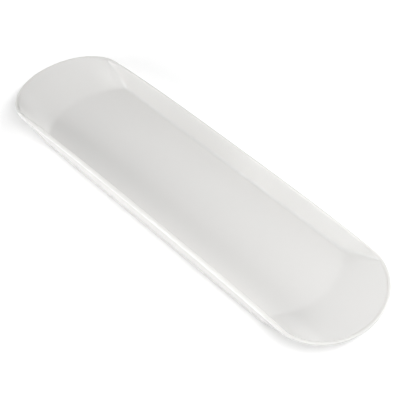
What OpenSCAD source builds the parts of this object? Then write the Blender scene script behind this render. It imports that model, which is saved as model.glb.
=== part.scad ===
// Asparagus plate: a long porcelain trough with two steep flared walls, two gentle end ramps,
// a rounded lip whose rim is arched along the length, and a foot ring below.
// The fired body is one piece. The wiped standing edge of the foot parts its glaze into two coats.
// X runs along the plate, Z is up, and the origin lies on the table below the plate's middle.

/* [Outline] */
// length over the rim
plate_length = 400; // [380:1:420]
// width over the rim
plate_width = 110; // [106:0.5:116]
// length of the half-ellipse that rounds each end
end_depth = 45.5; // [44:0.5:52]

/* [Well] */
// length of the flat floor on the centre line
floor_length = 298; // [286:1:310]
// width of the flat floor between the walls
floor_width = 92.5; // [90:0.5:95]
// radius of the arc where the floor turns up into a ramp
floor_end_radius = 68.5; // [64:0.5:80]
// distance from the middle to the point where a wall dies into the rim
wall_end_x = 166; // [161:0.5:168]
// size of the soft corner between the floor and the walls
floor_corner = 2; // [1.2:0.1:2.6]
// share of a ramp's run over which it leaves the floor
ramp_blend = 0.12; // [0.05:0.01:0.3]

/* [Rim] */
// rim above the floor at mid-length, before the lean of its crest
rim_rise_middle = 19.3; // [17:0.1:23]
// rim above the floor at the two tips
rim_rise_tip = 9.8; // [9:0.1:12]
// power of the arch that the rim draws from the middle to the tips
rim_arch = 3.1; // [2.4:0.1:3.6]
// thickness of the rounded lip
lip_thickness = 4; // [3.4:0.1:4.6]
// shift of the walls' crest from the middle of the lip towards the well
lip_lean = 1.2; // [0:0.1:1.4]

/* [Base] */
// thickness of the floor
base_thickness = 5; // [4.4:0.1:6]
// width across the lower edges of the walls, outside
base_width = 97.5; // [96.5:0.5:102]
// size of the rounding along those lower edges
base_rounding = 2.5; // [1.5:0.1:3]
// length over the foot ring
foot_length = 288; // [270:1:292]
// width over the foot ring
foot_span = 85; // [78:0.5:88]
// height of the foot ring below the base
foot_height = 2.5; // [1.8:0.1:4]
// width of the standing face
foot_width = 2.4; // [1.6:0.1:4]
// height of the unglazed band above the standing face
bare_height = 0.8; // [0.5:0.1:1.2]

/* [Glaze] */
// thickness of the glaze
glaze = 0.3; // [0.2:0.05:0.4]

/* [Hidden] */

// mesh steps: along the floor, along one ramp, round one end, round the lip
floor_steps = 14;
ramp_steps = 4;
end_steps = 22;
lip_steps = 8;
length_steps = floor_steps + 2 * ramp_steps;
ring_size = 2 * (length_steps + end_steps);

half_length = plate_length / 2;
lip_radius = lip_thickness / 2;
floor_level = foot_height + base_thickness;
floor_half = floor_width / 2;
base_half = base_width / 2;

// the lip's centre line: straight sides, then half-ellipses
rim_straight = half_length - end_depth;
rim_end = end_depth - lip_radius;
rim_half = plate_width / 2 - lip_radius;
wall_end_angle = acos((wall_end_x - rim_straight) / rim_end);

// the floor's end arc
arc_centre = floor_length / 2 - floor_end_radius;
floor_corner_x = arc_centre + sqrt(pow(floor_end_radius, 2) - pow(floor_half, 2));

// least share of the lip's thickness round the ends
least_lip = 0.5;

// where a ramp stops short of the lip's centre line, and its height above that line
ramp_stop = 1.5 * lip_radius;
ramp_stop_rise = 0.6 * lip_radius;

// the flat base under the floor: its margin inside the floor's edge, and where its corners start and end
base_margin = 0.6;
base_flat = floor_half - base_margin;
base_turn = 5;
base_corner = 0.94;

// the foot ring's outline: straight sides, then half-ellipses
foot_half = foot_span / 2;
foot_end = 0.82 * foot_half;
foot_straight = foot_length / 2 - foot_end;
foot_edge = 1;
// depth that is ground off the foot to make its standing face
ground_off = 0.4;

function mix(a, b, share) = a + (b - a) * share;
function unit(v) = v / norm(v);
function toward(a, b, distance) = a + unit(b - a) * min(distance, 0.35 * norm(b - a));
function curve(a, corner, b, share) = mix(mix(a, corner, share), mix(corner, b, share), share);
function side_of(value) = value < 0 ? -1 : 1;

// position of step i along the plate: share of the floor from -1 to 1, then share of a ramp from 0 to 1
function end_of(i) = side_of(i - length_steps / 2);
function floor_share(i) = max(-1, min(1, 2 * (i - ramp_steps) / floor_steps - 1));
function ramp_share(i) = max(0, ramp_steps - i, i - ramp_steps - floor_steps) / ramp_steps;
// position of step j across the plate, from -1 at the near wall to 1 at the far wall
function across(j) = 2 * j / end_steps - 1;

// the ramp's height share: a soft start, then straight
function ramp_height(share) =
    (share < ramp_blend ? pow(share, 2) / (2 * ramp_blend) : share - ramp_blend / 2) / (1 - ramp_blend / 2);

// the lip's centre line, its outward direction in plan and its height
function rim_on_end(end, j) =
    let (angle = across(j) * wall_end_angle)
    [end * (rim_straight + rim_end * cos(angle)), rim_half * sin(angle)];
function side_x(i) = mix(floor_share(i) * floor_corner_x, end_of(i) * wall_end_x, ramp_share(i));
function side_y(i) = rim_half * sqrt(1 - pow(max(0, abs(side_x(i)) - rim_straight) / rim_end, 2));
function rim_on_side(i, j) = [side_x(i), across(j) * side_y(i)];
function outward(p) =
    unit([side_of(p.x) * max(0, abs(p.x) - rim_straight) / pow(rim_end, 2), p.y / pow(rim_half, 2)]);
function rim_level(x) =
    floor_level + rim_rise_middle - lip_radius
    - (rim_rise_middle - rim_rise_tip) * pow(abs(x) / half_length, rim_arch);

// share of the lip's thickness left where the outline draws in and its edge at the well stays straight
function lip_share(i) = max(least_lip, 1 - (rim_half - side_y(i)) / lip_thickness);
end_lip = lip_share(0);

// a point of the well: the flat floor, then the ramp up to just inside the lip
function floor_end_x(y) = arc_centre + sqrt(pow(floor_end_radius, 2) - y * y);
function ramp_top(end, j, inset) =
    let (rim = rim_on_end(end, j))
    let (p = rim + outward(rim) * (lip_radius * (1 - end_lip) - ramp_stop * end_lip - 0.4 * inset))
    [p.x, p.y, rim_level(rim.x) + ramp_stop_rise - 0.1 * inset];
function well(i, j, inset) =
    let (share = ramp_share(i), end = end_of(i), y = across(j) * (floor_half - inset))
    let (reach = floor_end_x(y), top = ramp_top(end, j, inset))
    share == 0
        ? [floor_share(i) * reach, y, floor_level]
        : [
            mix(end * reach, top.x, share),
            mix(y, top.y, share),
            mix(floor_level, top.z, ramp_height(share))
        ];

// the steps i and j of place k on the ring round the well
function along_of(k) =
    k < end_steps ? length_steps
    : k < end_steps + length_steps ? end_steps + length_steps - k
    : k < 2 * end_steps + length_steps ? 0
    : k - 2 * end_steps - length_steps;
function across_of(k) =
    k < end_steps ? k
    : k < end_steps + length_steps ? end_steps
    : k < 2 * end_steps + length_steps ? 2 * end_steps + length_steps - k
    : 0;
function on_end(k) = along_of(k) == 0 || along_of(k) == length_steps;

// a point of the foot ring below a point of the rim
function foot_point(rim, inset, level) =
    let (past = max(0, abs(rim.x) - rim_straight) / rim_end)
    [
        min(abs(rim.x), rim_straight) * side_of(rim.x) * foot_straight / rim_straight
            + side_of(rim.x) * past * (foot_end - inset),
        rim.y / rim_half * (foot_half - inset),
        level
    ];

// the edge of the flat base below the floor, with rounded corners
function base_end(end, t) = [end * (floor_end_x(t * floor_half) - base_margin), t * base_flat, foot_height];
function base_edge(k) =
    let (i = along_of(k), t = across(across_of(k)), end = end_of(i))
    let (side_end = floor_corner_x - base_turn)
    on_end(k) ? base_end(end, base_corner * t)
    : ramp_share(i) == 0 ? [floor_share(i) * side_end, t * base_flat, foot_height]
    : curve(
        [end * side_end, t * base_flat, foot_height],
        [end * floor_corner_x, t * base_flat, foot_height],
        base_end(end, base_corner * t),
        ramp_share(i)
    );

// the section at place k, from the wall's foot over the lip and down the outside to the recess
function section(k) =
    let (i = along_of(k), j = across_of(k))
    let (rim = on_end(k) ? rim_on_end(end_of(i), j) : rim_on_side(i, j))
    let (out = outward(rim), share = ramp_share(i), level = rim_level(rim.x))
    let (crease = well(i, j, 0))
    let (narrow = lip_share(i), centre = rim + out * lip_radius * (1 - narrow))
    let (run = [crease.x - centre.x, crease.y - centre.y] * out / narrow, drop = crease.z - level)
    let (turn = (atan2(drop, run) + 360) % 360 - acos(lip_radius / norm([run, drop])))
    // two quarter-ellipses that meet at the crest, a short one to the well and a long one to the outside
    let (lean = lip_lean * (1 - pow(share, 3)))
    let (lip = [
        for (step = [0:lip_steps])
            let (side = cos(180 * step / lip_steps))
            let (over = lean + (lip_radius - sign(side) * lean) * side)
            let (rise = lip_radius * sin(180 * step / lip_steps))
            let (r = narrow * (over * cos(turn) + rise * sin(turn)))
            [centre.x + out.x * r, centre.y + out.y * r, level + over * sin(turn) - rise * cos(turn)]
    ])
    let (wall = toward(crease, lip[0], floor_corner))
    let (shift = mix(base_half - floor_half, 0.25 * lip_radius, share))
    let (corner = [
        crease.x + out.x * shift,
        crease.y + out.y * shift,
        crease.z - mix(base_thickness, 1.02 * lip_thickness, share)
    ])
    let (base = base_edge(k))
    let (skirt = toward(corner, lip[lip_steps], base_rounding))
    let (under = toward(corner, base, base_rounding))
    let (inner = 2 * foot_edge + foot_width)
    concat(
        [curve(well(i, j, floor_corner), crease, wall, 1 / 2), wall],
        lip,
        [skirt, curve(skirt, corner, under, 1 / 2), under, mix(under, base, 1 / 2), base],
        [
            foot_point(rim, 0, foot_height),
            foot_point(rim, 0.4 * foot_edge, bare_height),
            foot_point(rim, foot_edge, -ground_off),
            foot_point(rim, foot_edge + foot_width, -ground_off),
            foot_point(rim, inner - 0.4 * foot_edge, bare_height),
            foot_point(rim, inner, foot_height),
            foot_point(rim, inner + 4, foot_height)
        ]
    );

// rings of the outer surface, counted outwards and then under, with the well's edge as ring 0
sections = [for (k = [0:ring_size - 1]) section(k)];
well_edge = [for (k = [0:ring_size - 1]) well(along_of(k), across_of(k), floor_corner)];
rings = concat(
    [well_edge],
    [for (r = [0:len(sections[0]) - 1]) [for (k = [0:ring_size - 1]) sections[k][r]]]
);
last_ring = len(rings) - 1;
glaze_end = last_ring - 5;
recess_start = last_ring - 2;

// outward directions, from the neighbouring points
function well_normal(i, j) =
    let (i1 = max(0, i - 0.1), i2 = min(length_steps, i + 0.1))
    let (j1 = max(0, j - 0.1), j2 = min(end_steps, j + 0.1))
    unit(cross(
        well(i2, j, floor_corner) - well(i1, j, floor_corner),
        well(i, j2, floor_corner) - well(i, j1, floor_corner)
    ));
function ring_normal(r, k) =
    r == last_ring ? [0, 0, -1]
    : unit(cross(
        rings[r + 1][k] - rings[r - 1][k],
        rings[r][(k + 1) % ring_size] - rings[r][(k + ring_size - 1) % ring_size]
    ));

// the glazed surface at depth 0 and the fired body's surface at depth glaze
function is_bare(r) = r > glaze_end && r < recess_start;
function well_points(depth) = [
    for (i = [0:length_steps], j = [0:end_steps])
        well(i, j, floor_corner) - well_normal(i, j) * depth
];
function ring_points(first, last, depth) = [
    for (r = [first:last], k = [0:ring_size - 1])
        rings[r][k] - ring_normal(r, k) * (is_bare(r) ? 0 : depth)
];

// point numbers, in a list that holds the well and then the rings from ring 1
well_count = (length_steps + 1) * (end_steps + 1);
function well_number(i, j) = i * (end_steps + 1) + j;
function ring_number(r, k) =
    let (place = k % ring_size)
    r == 0 ? well_number(along_of(place), across_of(place))
    : well_count + (r - 1) * ring_size + place;

// faces, two triangles for each quad
function quad(a, b, c, d) = [[a, c, b], [a, d, c]];
function shifted(faces, by) = [for (f = faces) [for (n = f) n + by]];
function turned(faces) = [for (f = faces) [for (n = [len(f) - 1:-1:0]) f[n]]];
well_faces = [
    for (i = [0:length_steps - 1], j = [0:end_steps - 1])
        each quad(
            well_number(i, j),
            well_number(i + 1, j),
            well_number(i + 1, j + 1),
            well_number(i, j + 1)
        )
];
function band_faces(first, last) = [
    for (r = [first:last - 1], k = [0:ring_size - 1])
        each quad(
            ring_number(r, k),
            ring_number(r + 1, k),
            ring_number(r + 1, k + 1),
            ring_number(r, k + 1)
        )
];
// the short band where a coat ends, from the outer surface to the body's surface
function edge_faces(r, by) = [
    for (k = [0:ring_size - 1])
        each quad(
            ring_number(r, k),
            ring_number(r, k) + by,
            ring_number(r, k + 1) + by,
            ring_number(r, k + 1)
        )
];
function ring_cap(r) = [[for (k = [0:ring_size - 1]) ring_number(r, k)]];

// the fired body: well, walls, lip, base and foot ring, with the standing face ground flat
module porcelain_body() {
    color([0.9, 0.89, 0.86])
    difference() {
        polyhedron(
            points = concat(well_points(glaze), ring_points(1, last_ring, glaze)),
            faces = concat(well_faces, band_faces(0, last_ring), ring_cap(last_ring)),
            convexity = 6
        );
        translate([-half_length, -plate_width / 2, -2])
            cube([plate_length, plate_width, 2]);
    }
}

// the coat over the well, lip and outside, down to the bare standing edge
module outer_glaze() {
    outside = concat(well_points(0), ring_points(1, glaze_end, 0));
    inside = concat(well_points(glaze), ring_points(1, glaze_end, glaze));
    skin = concat(well_faces, band_faces(0, glaze_end));
    color([0.97, 0.97, 0.96])
    polyhedron(
        points = concat(outside, inside),
        faces = concat(skin, shifted(turned(skin), len(outside)), edge_faces(glaze_end, len(outside))),
        convexity = 8
    );
}

// the coat inside the foot ring
module recess_glaze() {
    before = ring_number(recess_start, 0);
    outside = ring_points(recess_start, last_ring, 0);
    inside = ring_points(recess_start, last_ring, glaze);
    skin = shifted(concat(band_faces(recess_start, last_ring), ring_cap(last_ring)), -before);
    rim = shifted(turned(edge_faces(recess_start, len(outside))), -before);
    color([0.97, 0.97, 0.96])
    polyhedron(
        points = concat(outside, inside),
        faces = concat(skin, shifted(turned(skin), len(outside)), rim),
        convexity = 4
    );
}

porcelain_body();
outer_glaze();
recess_glaze();
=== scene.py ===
"""Asparagus plate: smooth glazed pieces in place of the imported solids, with floor, light and camera."""

import math

import bpy
import numpy as np
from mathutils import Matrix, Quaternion, Vector


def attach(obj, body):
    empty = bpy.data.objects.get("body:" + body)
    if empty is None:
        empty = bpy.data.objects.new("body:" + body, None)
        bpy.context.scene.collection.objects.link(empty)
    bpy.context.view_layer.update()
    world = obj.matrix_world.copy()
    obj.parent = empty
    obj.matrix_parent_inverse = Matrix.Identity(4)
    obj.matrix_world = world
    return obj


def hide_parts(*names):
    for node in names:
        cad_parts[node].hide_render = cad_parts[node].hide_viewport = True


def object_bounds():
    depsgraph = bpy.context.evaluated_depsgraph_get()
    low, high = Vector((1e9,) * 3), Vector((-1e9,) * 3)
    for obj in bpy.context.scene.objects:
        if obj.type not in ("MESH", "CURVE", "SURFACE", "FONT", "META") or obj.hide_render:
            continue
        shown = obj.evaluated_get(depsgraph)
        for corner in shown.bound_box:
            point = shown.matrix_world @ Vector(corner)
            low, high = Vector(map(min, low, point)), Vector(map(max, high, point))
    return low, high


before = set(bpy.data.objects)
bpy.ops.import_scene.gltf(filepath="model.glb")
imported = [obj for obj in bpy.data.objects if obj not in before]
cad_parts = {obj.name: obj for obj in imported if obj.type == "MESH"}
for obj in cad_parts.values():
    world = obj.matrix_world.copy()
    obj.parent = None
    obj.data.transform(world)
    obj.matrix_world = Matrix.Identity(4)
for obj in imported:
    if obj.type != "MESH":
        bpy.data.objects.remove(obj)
cad_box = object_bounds()

# The plate's sizes in millimetres and shares, as in the part's source
PLATE_LENGTH = 400.0
PLATE_WIDTH = 110.0
END_DEPTH = 45.5
FLOOR_LENGTH = 298.0
FLOOR_WIDTH = 92.5
FLOOR_END_RADIUS = 68.5
WALL_END_X = 166.0
FLOOR_CORNER = 2.0
RAMP_BLEND = 0.12
RIM_RISE_MIDDLE = 19.3
RIM_RISE_TIP = 9.8
RIM_ARCH = 3.1
LIP_THICKNESS = 4.0
LIP_LEAN = 1.2
LEAST_LIP = 0.5
BASE_THICKNESS = 5.0
BASE_WIDTH = 97.5
BASE_ROUNDING = 2.5
BASE_MARGIN = 0.6
BASE_TURN = 5.0
BASE_CORNER = 0.94
FOOT_LENGTH = 288.0
FOOT_SPAN = 85.0
FOOT_HEIGHT = 2.5
FOOT_WIDTH = 2.4
FOOT_EDGE = 1.0
BARE_HEIGHT = 0.8
GLAZE = 0.3

# Small forms of the scene alone, in millimetres, or as factors for the edge round the ends
RAMP_CORNER = 5.0
END_EDGE = 0.7
END_ROUNDING = 2.4
FOOT_ROOT = 0.9
BARE_ROUNDING = 0.35

# The inset of the well's edge at a ramp's top, outward and down, as shares of the inset at the floor
TOP_INSET_OUT = 0.4
TOP_INSET_DOWN = 0.1

# The most of a face that a soft corner takes, and the width of the recess ring inside the foot
CORNER_LIMIT = 0.35
RECESS_RING = 4.0

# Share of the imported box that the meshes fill, and millimetres in a metre
BOX_SHARE = 0.99998
MM_PER_M = 1000

# Mesh steps along the floor, a ramp, an end, the lip's rounding, a soft corner and a straight face
FLOOR_STEPS = 72
RAMP_STEPS = 28
END_STEPS = 112
LIP_STEPS = 28
CORNER_STEPS = 8
FACE_STEPS = 5

# Measures that follow from the values above
LENGTH_STEPS = FLOOR_STEPS + 2 * RAMP_STEPS
RING_SIZE = 2 * (LENGTH_STEPS + END_STEPS)
HALF_LENGTH = PLATE_LENGTH / 2
LIP_RADIUS = LIP_THICKNESS / 2
FLOOR_LEVEL = FOOT_HEIGHT + BASE_THICKNESS
FLOOR_HALF = FLOOR_WIDTH / 2
RIM_STRAIGHT = HALF_LENGTH - END_DEPTH
RIM_END = END_DEPTH - LIP_RADIUS
RIM_HALF = PLATE_WIDTH / 2 - LIP_RADIUS
WALL_END_ANGLE = math.acos((WALL_END_X - RIM_STRAIGHT) / RIM_END)
ARC_CENTRE = FLOOR_LENGTH / 2 - FLOOR_END_RADIUS
FLOOR_CORNER_X = ARC_CENTRE + math.sqrt(FLOOR_END_RADIUS**2 - FLOOR_HALF**2)
RAMP_STOP = 1.5 * LIP_RADIUS
RAMP_STOP_RISE = 0.6 * LIP_RADIUS
BASE_FLAT = FLOOR_HALF - BASE_MARGIN
FOOT_HALF = FOOT_SPAN / 2
FOOT_END = 0.82 * FOOT_HALF
FOOT_STRAIGHT = FOOT_LENGTH / 2 - FOOT_END
FOOT_INNER = 2 * FOOT_EDGE + FOOT_WIDTH
GLAZE_STOP = 0.4 * FOOT_EDGE
SIDE_SHIFT = BASE_WIDTH / 2 - FLOOR_HALF
END_SHIFT = 0.25 * LIP_RADIUS
END_THICKNESS = 1.02 * LIP_THICKNESS * END_EDGE

# The camera, with places in metres and its lens and sensor in millimetres
CAMERA_PLACE = (0.4283, -0.3922, 0.6564)
CAMERA_TARGET = (0.0136, 0.00045, 0.00723)
CAMERA_ROLL = -0.006
CAMERA_LENS = 92.35
SENSOR_WIDTH = 36.0

# The floor and backdrop in metres: their glow is low beside the plate and full from LIFT_TO outward
FLOOR_SIZE = 12.0
FLOOR_COLOUR = (0.93, 0.93, 0.93)
FLOOR_LIFT = 0.29
FULL_LIFT = 1.0
LIFT_FROM = 0.25
LIFT_TO = 0.7
BACKDROP_RADIUS = 5.5
BACKDROP_HEIGHT = 2.0
BACKDROP_STEPS = 96

# Glaze: tints from painted shade in tight hollows to painted highlight over edges, the shading's value on
# a flat place, bend per millimetre that lightens it
BEND_SHADING = "bend_shading"
# Painted shade, darker and cooler, at 0 in hollows; plain glaze at a half; painted highlight, lighter and
# warmer, at 1 over edges
GLAZE_TINTS_SHADE_TO_HIGHLIGHT = ((0.0, (0.795, 0.80, 0.785)), (0.5, (0.827, 0.82, 0.805)), (1.0, (0.845, 0.838, 0.818)))
FLAT_SHADING = 0.5
SHADING_BEND = 0.5
GLAZE_IOR = 1.5
GLAZE_CLOUD_SHARE = 0.3
GLAZE_ROUGHNESS = (0.09, 0.15)
GLAZE_RIPPLE_HEIGHT = 0.00002

# Bare foot: tints by grain, roughness range and relief in metres
BISCUIT_TINTS = ((0.2, (0.68, 0.66, 0.61)), (0.8, (0.80, 0.78, 0.73)))
BISCUIT_ROUGHNESS = (0.62, 0.8)
BISCUIT_GRAIN_HEIGHT = 0.00004

# Noises: features per metre and levels of detail
GLAZE_CLOUDS = (14.0, 3)
GLAZE_SMEARS = (22.0, 2)
GLAZE_RIPPLES = (70.0, 1)
BISCUIT_GRAIN = (900.0, 2)
BISCUIT_RUBS = (60.0, 2)

# Softboxes: name, place, point they face, size across and along, power in watts
SOFTBOXES = (
    ("overhead", (0.62, 0.3, 1.1), (0.62, 0.3, 0.0), (0.6, 1.7), 14.9),
    ("overhead_far", (0.5, 1.3, 1.1), (0.5, 1.3, 0.0), (0.8, 0.6), 1.4),
    ("overhead_fill", (-0.05, -0.4, 1.1), (-0.05, -0.4, 0.0), (0.8, 0.8), 2.3),
    ("front", (-0.36, -0.95, 0.44), (-0.12, 0.0, 0.02), (0.42, 0.28), 3.7),
    ("front_low", (-0.1, -1.0, 0.2), (-0.05, 0.0, 0.02), (1.8, 0.35), 3.1),
    ("front_left", (-0.9, -0.8, 0.3), (-0.2, 0.0, 0.02), (0.5, 0.4), 0.4),
    ("back_right", (0.8, 1.2, 0.55), (0.24, 0.0, 0.2), (0.8, 0.8), 4.4),
    ("back_left", (-0.35, 1.3, 0.85), (-0.3, 0.2, 0.0), (1.0, 0.8), 1.8),
)


def mix(a, b, share):
    return a + (b - a) * share


def unit(v):
    return v / np.linalg.norm(v, axis=-1, keepdims=True)


def toward(a, b, distance):
    """The point at a distance from a on the way to b, but no further than the limit for a corner."""
    gap = np.linalg.norm(b - a, axis=-1, keepdims=True)
    return a + unit(b - a) * np.minimum(distance, CORNER_LIMIT * gap)


def curve(a, corner, b, share):
    return mix(mix(a, corner, share), mix(corner, b, share), share)


def points(x, y, z):
    x, y, z = np.broadcast_arrays(x, y, z)
    return np.stack([x, y, z], axis=-1).astype(float)


def side_of(value):
    return np.where(value < 0, -1.0, 1.0)


# Steps along the plate (i) and across it (j), as arrays
def end_of(i):
    return side_of(i - LENGTH_STEPS / 2)


def floor_share(i):
    return np.clip(2 * (i - RAMP_STEPS) / FLOOR_STEPS - 1, -1, 1)


def ramp_share(i):
    return np.maximum(0, np.maximum(RAMP_STEPS - i, i - RAMP_STEPS - FLOOR_STEPS)) / RAMP_STEPS


def across(j):
    return 2 * j / END_STEPS - 1


def ramp_height(share):
    soft = share**2 / (2 * RAMP_BLEND)
    straight = share - RAMP_BLEND / 2
    return np.where(share < RAMP_BLEND, soft, straight) / (1 - RAMP_BLEND / 2)


def corner_size(i):
    """Size of the soft corner below a wall: wider beside a ramp than beside the floor."""
    return FLOOR_CORNER + RAMP_CORNER * np.sin(math.pi * ramp_share(i))


# The lip's centre line, its outward direction in plan and its height
def rim_on_end(end, j):
    angle = across(j) * WALL_END_ANGLE
    return np.stack([end * (RIM_STRAIGHT + RIM_END * np.cos(angle)), RIM_HALF * np.sin(angle)], axis=-1)


def side_x(i):
    return mix(floor_share(i) * FLOOR_CORNER_X, end_of(i) * WALL_END_X, ramp_share(i))


def side_y(i):
    past = np.maximum(0, np.abs(side_x(i)) - RIM_STRAIGHT) / RIM_END
    return RIM_HALF * np.sqrt(1 - past**2)


def rim_on_side(i, j):
    return np.stack([side_x(i), across(j) * side_y(i)], axis=-1)


def lip_share(i):
    """Share of the lip that is left where the outline draws in and its edge at the well stays straight."""
    return np.maximum(LEAST_LIP, 1 - (RIM_HALF - side_y(i)) / LIP_THICKNESS)


def outward(rim):
    past = side_of(rim[..., 0]) * np.maximum(0, np.abs(rim[..., 0]) - RIM_STRAIGHT)
    return unit(np.stack([past / RIM_END**2, rim[..., 1] / RIM_HALF**2], axis=-1))


def rim_level(x):
    fall = (RIM_RISE_MIDDLE - RIM_RISE_TIP) * (np.abs(x) / HALF_LENGTH) ** RIM_ARCH
    return FLOOR_LEVEL + RIM_RISE_MIDDLE - LIP_RADIUS - fall


# The well: the flat floor, then the ramp up to just inside the lip
def floor_end_x(y):
    return ARC_CENTRE + np.sqrt(FLOOR_END_RADIUS**2 - y**2)


def well(i, j, inset):
    share = ramp_share(i)
    end = end_of(i)
    y = across(j) * (FLOOR_HALF - inset)
    reach = floor_end_x(y)
    rim = rim_on_end(end, j)
    narrow = lip_share(np.float64(0))
    shift = LIP_RADIUS * (1 - narrow) - RAMP_STOP * narrow - TOP_INSET_OUT * inset
    top = rim + outward(rim) * shift[..., None]
    top_level = rim_level(rim[..., 0]) + RAMP_STOP_RISE - TOP_INSET_DOWN * inset
    on_floor = points(floor_share(i) * reach, y, FLOOR_LEVEL)
    on_ramp = points(
        mix(end * reach, top[..., 0], share),
        mix(y, top[..., 1], share),
        mix(FLOOR_LEVEL, top_level, ramp_height(share)),
    )
    return np.where(share[..., None] == 0, on_floor, on_ramp)


# Steps i and j of each place on the ring round the well
def ring_steps():
    up = np.arange(END_STEPS)
    back = np.arange(LENGTH_STEPS)
    i = np.concatenate([
        np.full(END_STEPS, LENGTH_STEPS),
        LENGTH_STEPS - back,
        np.zeros(END_STEPS),
        back,
    ])
    j = np.concatenate([up, np.full(LENGTH_STEPS, END_STEPS), END_STEPS - up, np.zeros(LENGTH_STEPS)])
    return i.astype(float), j.astype(float)


def foot_points(rim, inset, level):
    side = side_of(rim[:, 0])
    past = np.maximum(0, np.abs(rim[:, 0]) - RIM_STRAIGHT) / RIM_END
    straight = np.minimum(np.abs(rim[:, 0]), RIM_STRAIGHT) * FOOT_STRAIGHT / RIM_STRAIGHT
    x = side * (straight + past * (FOOT_END - inset))
    return points(x, rim[:, 1] / RIM_HALF * (FOOT_HALF - inset), level)


def base_end(end, t):
    return points(end * (floor_end_x(t * FLOOR_HALF) - BASE_MARGIN), t * BASE_FLAT, FOOT_HEIGHT)


def base_edge(i, j, on_end):
    t = across(j)
    end = end_of(i)
    share = ramp_share(i)
    side_end = FLOOR_CORNER_X - BASE_TURN
    at_end = base_end(end, BASE_CORNER * t)
    at_side = points(floor_share(i) * side_end, t * BASE_FLAT, FOOT_HEIGHT)
    turn = curve(
        points(end * side_end, t * BASE_FLAT, FOOT_HEIGHT),
        points(end * FLOOR_CORNER_X, t * BASE_FLAT, FOOT_HEIGHT),
        at_end,
        share[:, None],
    )
    side = np.where(share[:, None] == 0, at_side, turn)
    return np.where(on_end[:, None], at_end, side)


def stretch(a, b, steps):
    """Rings between a and b, without a and with b."""
    return [mix(a, b, n / steps) for n in range(1, steps + 1)]


def rounded(a, corner, b, steps):
    """Rings of a soft corner between a and b, without a and with b."""
    return [curve(a, corner, b, n / steps) for n in range(1, steps + 1)]


def softened(a, corner, b, distance):
    """Rings of the soft corner that replaces a sharp one on the way from a to b."""
    start = toward(corner, a, distance)
    return [start, *rounded(start, corner, toward(corner, b, distance), CORNER_STEPS)]


def plate_rings():
    """Rings of the glazed surface, from the well's edge over the lip and under the base to the recess.
    The two numbers after them are those of the rings where the foot's bare band starts and ends."""
    i, j = ring_steps()
    on_end = (i == 0) | (i == LENGTH_STEPS)
    rim = np.where(on_end[:, None], rim_on_end(end_of(i), j), rim_on_side(i, j))
    out = outward(rim)
    share = ramp_share(i)
    level = rim_level(rim[:, 0])
    soft = corner_size(i)
    edge = well(i, j, soft)
    crease = well(i, j, np.zeros(RING_SIZE))
    narrow = lip_share(i)
    centre = rim + out * LIP_RADIUS * (1 - narrow[:, None])
    run = ((crease[:, :2] - centre) * out).sum(axis=1) / narrow
    drop = crease[:, 2] - level
    turn = np.arctan2(drop, run) % (2 * math.pi) - np.arccos(LIP_RADIUS / np.hypot(run, drop))
    late = share**3
    lean = LIP_LEAN * (1 - late)
    thin = mix(1, END_EDGE, late)
    rounding = mix(1, END_ROUNDING, late)
    lip = []
    for step in range(LIP_STEPS + 1):
        angle = math.pi * step / LIP_STEPS
        side = math.cos(angle)
        over = lean + (LIP_RADIUS - math.copysign(1, side) * lean) * side
        rise = LIP_RADIUS * (1 - rounding * (1 - math.sin(angle)))
        r = narrow * (over * np.cos(turn) + rise * np.sin(turn))
        z = over * np.sin(turn) - rise * np.cos(turn)
        z = np.where(z < 0, z * thin, z)
        lip.append(points(centre[:, 0] + out[:, 0] * r, centre[:, 1] + out[:, 1] * r, level + z))
    wall = toward(crease, lip[0], soft[:, None])
    shift = mix(SIDE_SHIFT, END_SHIFT, share)
    corner = points(
        crease[:, 0] + out[:, 0] * shift,
        crease[:, 1] + out[:, 1] * shift,
        crease[:, 2] - mix(BASE_THICKNESS, END_THICKNESS, share),
    )
    base = base_edge(i, j, on_end)
    skirt = toward(corner, lip[-1], BASE_ROUNDING)
    under = toward(corner, base, BASE_ROUNDING)
    foot_top = foot_points(rim, 0, FOOT_HEIGHT)
    glaze_stop = foot_points(rim, GLAZE_STOP, BARE_HEIGHT)
    recess_stop = foot_points(rim, FOOT_INNER - GLAZE_STOP, BARE_HEIGHT)
    recess_corner = foot_points(rim, FOOT_INNER, FOOT_HEIGHT)
    recess = foot_points(rim, FOOT_INNER + RECESS_RING, FOOT_HEIGHT)
    stand_out = foot_points(rim, FOOT_EDGE, 0)
    stand_in = foot_points(rim, FOOT_EDGE + FOOT_WIDTH, 0)

    rings = [edge]
    rings += rounded(edge, crease, wall, CORNER_STEPS)
    rings += stretch(wall, lip[0], FACE_STEPS)
    rings += lip[1:]
    rings += stretch(lip[-1], skirt, FACE_STEPS)
    rings += rounded(skirt, corner, under, CORNER_STEPS)
    rings += stretch(under, base, FACE_STEPS)
    rings += softened(base, foot_top, glaze_stop, FOOT_ROOT)
    rings += [glaze_stop]
    bare_from = len(rings) - 1
    rings += softened(glaze_stop, stand_out, stand_in, BARE_ROUNDING)
    rings += softened(stand_out, stand_in, recess_stop, BARE_ROUNDING)
    rings += [recess_stop]
    bare_to = len(rings) - 1
    rings += softened(recess_stop, recess_corner, recess, FOOT_ROOT)
    rings += [recess]
    return np.array(rings), bare_from, bare_to


def ring_normals(rings):
    across_rings = np.gradient(rings, axis=0)
    along_ring = np.roll(rings, -1, axis=1) - np.roll(rings, 1, axis=1)
    normals = unit(np.cross(across_rings, along_ring))
    normals[-1] = (0, 0, -1)
    return normals


def painted_light_by_bend(rings, normals):
    """Painted shade and highlight at each ring point by its bend: 0 in tight hollows, a half on flats, 1
    on edges.
    """
    step = np.gradient(rings, axis=0)
    bend = (np.gradient(normals, axis=0) * step).sum(axis=-1) / (step**2).sum(axis=-1)
    return FLAT_SHADING + (1 - FLAT_SHADING) * np.tanh(bend / SHADING_BEND)


def well_grid():
    i, j = np.meshgrid(np.arange(LENGTH_STEPS + 1.0), np.arange(END_STEPS + 1.0), indexing="ij")
    grid = well(i, j, corner_size(i))
    normals = unit(np.cross(np.gradient(grid, axis=0), np.gradient(grid, axis=1)))
    return grid, normals


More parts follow.
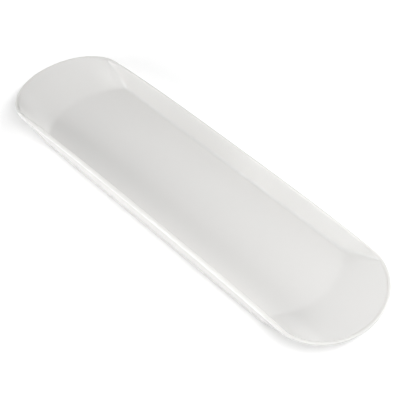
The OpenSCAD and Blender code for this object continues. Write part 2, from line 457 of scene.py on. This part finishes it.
def ring_number(r, k):
    """Point number in a list that holds the well's grid and then the rings from ring 1."""
    i, j = ring_steps()
    place = k % RING_SIZE
    on_well = (i[place] * (END_STEPS + 1) + j[place]).astype(int)
    first = (LENGTH_STEPS + 1) * (END_STEPS + 1)
    return on_well if r == 0 else first + (r - 1) * RING_SIZE + place


def well_faces():
    i, j = np.meshgrid(np.arange(LENGTH_STEPS), np.arange(END_STEPS), indexing="ij")
    a = (i * (END_STEPS + 1) + j).ravel()
    return np.stack([a, a + END_STEPS + 1, a + END_STEPS + 2, a + 1], axis=1)


def band_faces(first, last):
    k = np.arange(RING_SIZE)
    quads = []
    for r in range(first, last):
        low = ring_number(r, k)
        high = ring_number(r + 1, k)
        low_next = ring_number(r, k + 1)
        high_next = ring_number(r + 1, k + 1)
        quads.append(np.stack([low, high, high_next, low_next], axis=1))
    return np.concatenate(quads)


def edge_faces(r, by):
    """Faces that join ring r of one skin to the same ring of the skin whose numbers are higher."""
    k = np.arange(RING_SIZE)
    here = ring_number(r, k)
    there = ring_number(r, k + 1)
    return np.stack([here, here + by, there + by, there], axis=1)


def add_piece(name, verts, faces, node, material, thin=None):
    mesh = bpy.data.meshes.new(name)
    mesh.from_pydata((verts / MM_PER_M).tolist(), [], [tuple(f) for f in faces])
    mesh.validate()
    mesh.shade_smooth()
    mesh.materials.append(material)
    # The attribute holds the painted shade and highlight by bend, which the glaze turns into tint
    if thin is not None:
        mesh.attributes.new(BEND_SHADING, "FLOAT", "POINT").data.foreach_set("value", thin)
    piece = bpy.data.objects.new(name, mesh)
    bpy.context.scene.collection.objects.link(piece)
    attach(piece, "root")
    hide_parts(node)


def box_fit(rings):
    """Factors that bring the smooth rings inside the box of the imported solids."""
    low, high = (np.array(v) * MM_PER_M for v in cad_box)
    own_low = rings.min(axis=(0, 1))
    own_high = rings.max(axis=(0, 1))
    return (high - low) / (own_high - own_low) * BOX_SHARE


def build_plate(glaze_material, biscuit_material):
    rings, bare_from, bare_to = plate_rings()
    normals = ring_normals(rings)
    grid, grid_normals = well_grid()
    last = len(rings) - 1
    depth = np.full(len(rings), GLAZE)
    depth[bare_from + 1 : bare_to] = 0
    fired_rings = rings - normals * depth[:, None, None]
    fired_grid = (grid - grid_normals * GLAZE).reshape(-1, 3)
    coat_grid = grid.reshape(-1, 3)
    cap = ring_number(last, np.arange(RING_SIZE))[::-1]
    fit = box_fit(rings)
    # By bend: painted shade in the hollows, painted highlight over the edges, the middle tint on flats
    thin = painted_light_by_bend(rings, normals)
    flat = np.full(len(coat_grid), FLAT_SHADING)

    body_points = np.concatenate([fired_grid, fired_rings[1:].reshape(-1, 3)]) * fit
    body_faces = [*well_faces(), *band_faces(0, last), cap]
    add_piece("fired_body", body_points, body_faces, "porcelain_body", biscuit_material)

    outside = np.concatenate([coat_grid, rings[1 : bare_from + 1].reshape(-1, 3)])
    inside = np.concatenate([fired_grid, fired_rings[1 : bare_from + 1].reshape(-1, 3)])
    skin = np.concatenate([well_faces(), band_faces(0, bare_from)])
    coat_faces = np.concatenate([skin, skin[:, ::-1] + len(outside), edge_faces(bare_from, len(outside))])
    coat_points = np.concatenate([outside, inside]) * fit
    coat_shading = np.tile(np.concatenate([flat, thin[1 : bare_from + 1].ravel()]), 2)
    add_piece("glaze_coat", coat_points, coat_faces, "outer_glaze", glaze_material, coat_shading)

    before = ring_number(bare_to, np.array([0]))[0]
    outside = rings[bare_to:].reshape(-1, 3)
    inside = fired_rings[bare_to:].reshape(-1, 3)
    skin = [*(band_faces(bare_to, last) - before), cap - before]
    inner_skin = [f[::-1] + len(outside) for f in skin]
    rim_faces = edge_faces(bare_to, len(outside))[:, ::-1] - before
    recess_faces = [*skin, *inner_skin, *rim_faces]
    recess_points = np.concatenate([outside, inside]) * fit
    recess_shading = np.tile(thin[bare_to:].ravel(), 2)
    add_piece(
        "recess_coat", recess_points, recess_faces, "recess_glaze", glaze_material, recess_shading
    )


# Materials
def principled(name):
    material = bpy.data.materials.new(name)
    material.use_nodes = True
    nodes = material.node_tree.nodes
    return material, nodes, material.node_tree.links, nodes["Principled BSDF"]


def noise(nodes, links, scale, detail):
    """A noise in the plate's own frame, with features of about one over scale metres."""
    coords = nodes.new("ShaderNodeTexCoord")
    texture = nodes.new("ShaderNodeTexNoise")
    texture.inputs["Scale"].default_value = scale
    texture.inputs["Detail"].default_value = detail
    links.new(coords.outputs["Object"], texture.inputs["Vector"])
    return texture.outputs["Fac"]


def ramp(nodes, links, source, stops):
    """Colours by value: each stop is a place from 0 to 1 and a colour."""
    scale = nodes.new("ShaderNodeValToRGB")
    first, last = scale.color_ramp.elements
    for element, (place, colour) in ((first, stops[0]), (last, stops[-1])):
        element.position = place
        element.color = (*colour, 1)
    for place, colour in stops[1:-1]:
        scale.color_ramp.elements.new(place).color = (*colour, 1)
    links.new(source, scale.inputs["Fac"])
    return scale.outputs["Color"]


def spread(nodes, links, source, low, high, start=0, stop=1):
    """A value between start and stop brought to the range from low to high."""
    change = nodes.new("ShaderNodeMapRange")
    change.inputs["From Min"].default_value = start
    change.inputs["From Max"].default_value = stop
    change.inputs["To Min"].default_value = low
    change.inputs["To Max"].default_value = high
    links.new(source, change.inputs["Value"])
    return change.outputs["Result"]


def relief(nodes, links, source, height, shader):
    bump = nodes.new("ShaderNodeBump")
    bump.inputs["Distance"].default_value = height
    links.new(source, bump.inputs["Height"])
    links.new(bump.outputs["Normal"], shader.inputs["Normal"])


def glaze():
    """White glaze whose tint follows the bend: painted shade, darker and cooler, in the creases, and
    painted highlight, lighter and warmer, over the edges, with random clouds of tone.
    """
    material, nodes, links, shader = principled("white_glaze")
    bend_shade = nodes.new("ShaderNodeAttribute")
    bend_shade.attribute_name = BEND_SHADING
    cloud_noise = noise(nodes, links, *GLAZE_CLOUDS)
    clouds = spread(nodes, links, cloud_noise, -GLAZE_CLOUD_SHARE, GLAZE_CLOUD_SHARE)
    place = nodes.new("ShaderNodeMath")
    links.new(bend_shade.outputs["Fac"], place.inputs[0])
    links.new(clouds, place.inputs[1])
    # Painted shade in hollows and painted highlight on edges, shifted by the random clouds
    links.new(ramp(nodes, links, place.outputs["Value"], GLAZE_TINTS_SHADE_TO_HIGHLIGHT), shader.inputs["Base Color"])
    gloss = spread(nodes, links, noise(nodes, links, *GLAZE_SMEARS), *GLAZE_ROUGHNESS)
    links.new(gloss, shader.inputs["Roughness"])
    relief(nodes, links, noise(nodes, links, *GLAZE_RIPPLES), GLAZE_RIPPLE_HEIGHT, shader)
    shader.inputs["IOR"].default_value = GLAZE_IOR
    return material


def biscuit():
    """Unglazed porcelain: warm white, matt and finely grained."""
    material, nodes, links, shader = principled("bare_porcelain")
    grain = noise(nodes, links, *BISCUIT_GRAIN)
    links.new(ramp(nodes, links, grain, BISCUIT_TINTS), shader.inputs["Base Color"])
    rough = spread(nodes, links, noise(nodes, links, *BISCUIT_RUBS), *BISCUIT_ROUGHNESS)
    links.new(rough, shader.inputs["Roughness"])
    relief(nodes, links, grain, BISCUIT_GRAIN_HEIGHT, shader)
    return material


def seen_directly(nodes, links):
    """One for rays from the camera and for rays that a glossy or clear surface sends on, else nothing."""
    path = nodes.new("ShaderNodeLightPath")
    first = nodes.new("ShaderNodeMath")
    first.operation = "MAXIMUM"
    second = nodes.new("ShaderNodeMath")
    second.operation = "MAXIMUM"
    links.new(path.outputs["Is Camera Ray"], first.inputs[0])
    links.new(path.outputs["Is Glossy Ray"], first.inputs[1])
    links.new(first.outputs["Value"], second.inputs[0])
    links.new(path.outputs["Is Transmission Ray"], second.inputs[1])
    return second.outputs["Value"]


# Stage, light and camera
def matt_white(name):
    """White that takes shadows, with an emission whose strength is linked afterwards."""
    material, nodes, links, shader = principled(name)
    shader.inputs["Base Color"].default_value = (*FLOOR_COLOUR, 1)
    shader.inputs["Roughness"].default_value = 1.0
    shader.inputs["Specular IOR Level"].default_value = 0.0
    shader.inputs["Emission Color"].default_value = (1, 1, 1, 1)
    return material, nodes, links, shader


def add_stage(name, verts, faces, material):
    mesh = bpy.data.meshes.new(name)
    mesh.from_pydata(verts, [], faces)
    mesh.materials.append(material)
    surface = bpy.data.objects.new(name, mesh)
    bpy.context.scene.collection.objects.link(surface)


def add_floor():
    """The floor glows little near the plate, so that the shadow shows, and fully further out."""
    material, nodes, links, shader = matt_white("white_floor")
    coords = nodes.new("ShaderNodeTexCoord")
    distance = nodes.new("ShaderNodeVectorMath")
    distance.operation = "LENGTH"
    links.new(coords.outputs["Object"], distance.inputs[0])
    lift = spread(nodes, links, distance.outputs["Value"], FLOOR_LIFT, FULL_LIFT, LIFT_FROM, LIFT_TO)
    glow = nodes.new("ShaderNodeMath")
    glow.operation = "MULTIPLY"
    links.new(seen_directly(nodes, links), glow.inputs[0])
    links.new(lift, glow.inputs[1])
    links.new(glow.outputs["Value"], shader.inputs["Emission Strength"])
    half = FLOOR_SIZE / 2
    verts = [(-half, -half, 0), (half, -half, 0), (half, half, 0), (-half, half, 0)]
    add_stage("floor", verts, [(0, 1, 2, 3)], material)


def add_backdrop():
    """A low wall round the floor, which glows fully, for the views from low down."""
    material, nodes, links, shader = matt_white("white_backdrop")
    links.new(seen_directly(nodes, links), shader.inputs["Emission Strength"])
    verts = []
    for level in (0, BACKDROP_HEIGHT):
        for n in range(BACKDROP_STEPS):
            angle = 2 * math.pi * n / BACKDROP_STEPS
            verts.append((BACKDROP_RADIUS * math.cos(angle), BACKDROP_RADIUS * math.sin(angle), level))
    faces = []
    for n in range(BACKDROP_STEPS):
        after = (n + 1) % BACKDROP_STEPS
        faces.append((n, n + BACKDROP_STEPS, after + BACKDROP_STEPS, after))
    add_stage("backdrop", verts, faces, material)


def add_world():
    """A world that gives no light, because the softboxes give all of it."""
    world = bpy.data.worlds.new("studio")
    bpy.context.scene.world = world
    world.use_nodes = True
    world.node_tree.nodes["Background"].inputs["Strength"].default_value = 0


def add_softbox(name, place, target, size, power):
    light = bpy.data.lights.new(name, "AREA")
    light.shape = "RECTANGLE"
    light.size, light.size_y = size
    light.energy = power
    lamp = bpy.data.objects.new(name, light)
    bpy.context.scene.collection.objects.link(lamp)
    lamp.location = place
    lamp.rotation_euler = (Vector(target) - Vector(place)).to_track_quat("-Z", "Y").to_euler()


def add_camera():
    data = bpy.data.cameras.new("camera")
    data.lens = CAMERA_LENS
    data.sensor_width = SENSOR_WIDTH
    camera = bpy.data.objects.new("camera", data)
    bpy.context.scene.collection.objects.link(camera)
    camera.location = CAMERA_PLACE
    look = Vector(CAMERA_TARGET) - Vector(CAMERA_PLACE)
    roll = Quaternion((0, 0, 1), CAMERA_ROLL)
    camera.rotation_euler = (look.to_track_quat("-Z", "Y") @ roll).to_euler()
    bpy.context.scene.camera = camera


build_plate(glaze(), biscuit())
add_floor()
add_backdrop()
add_world()
for softbox in SOFTBOXES:
    add_softbox(*softbox)
add_camera()
bpy.context.scene.view_settings.view_transform = "Standard"
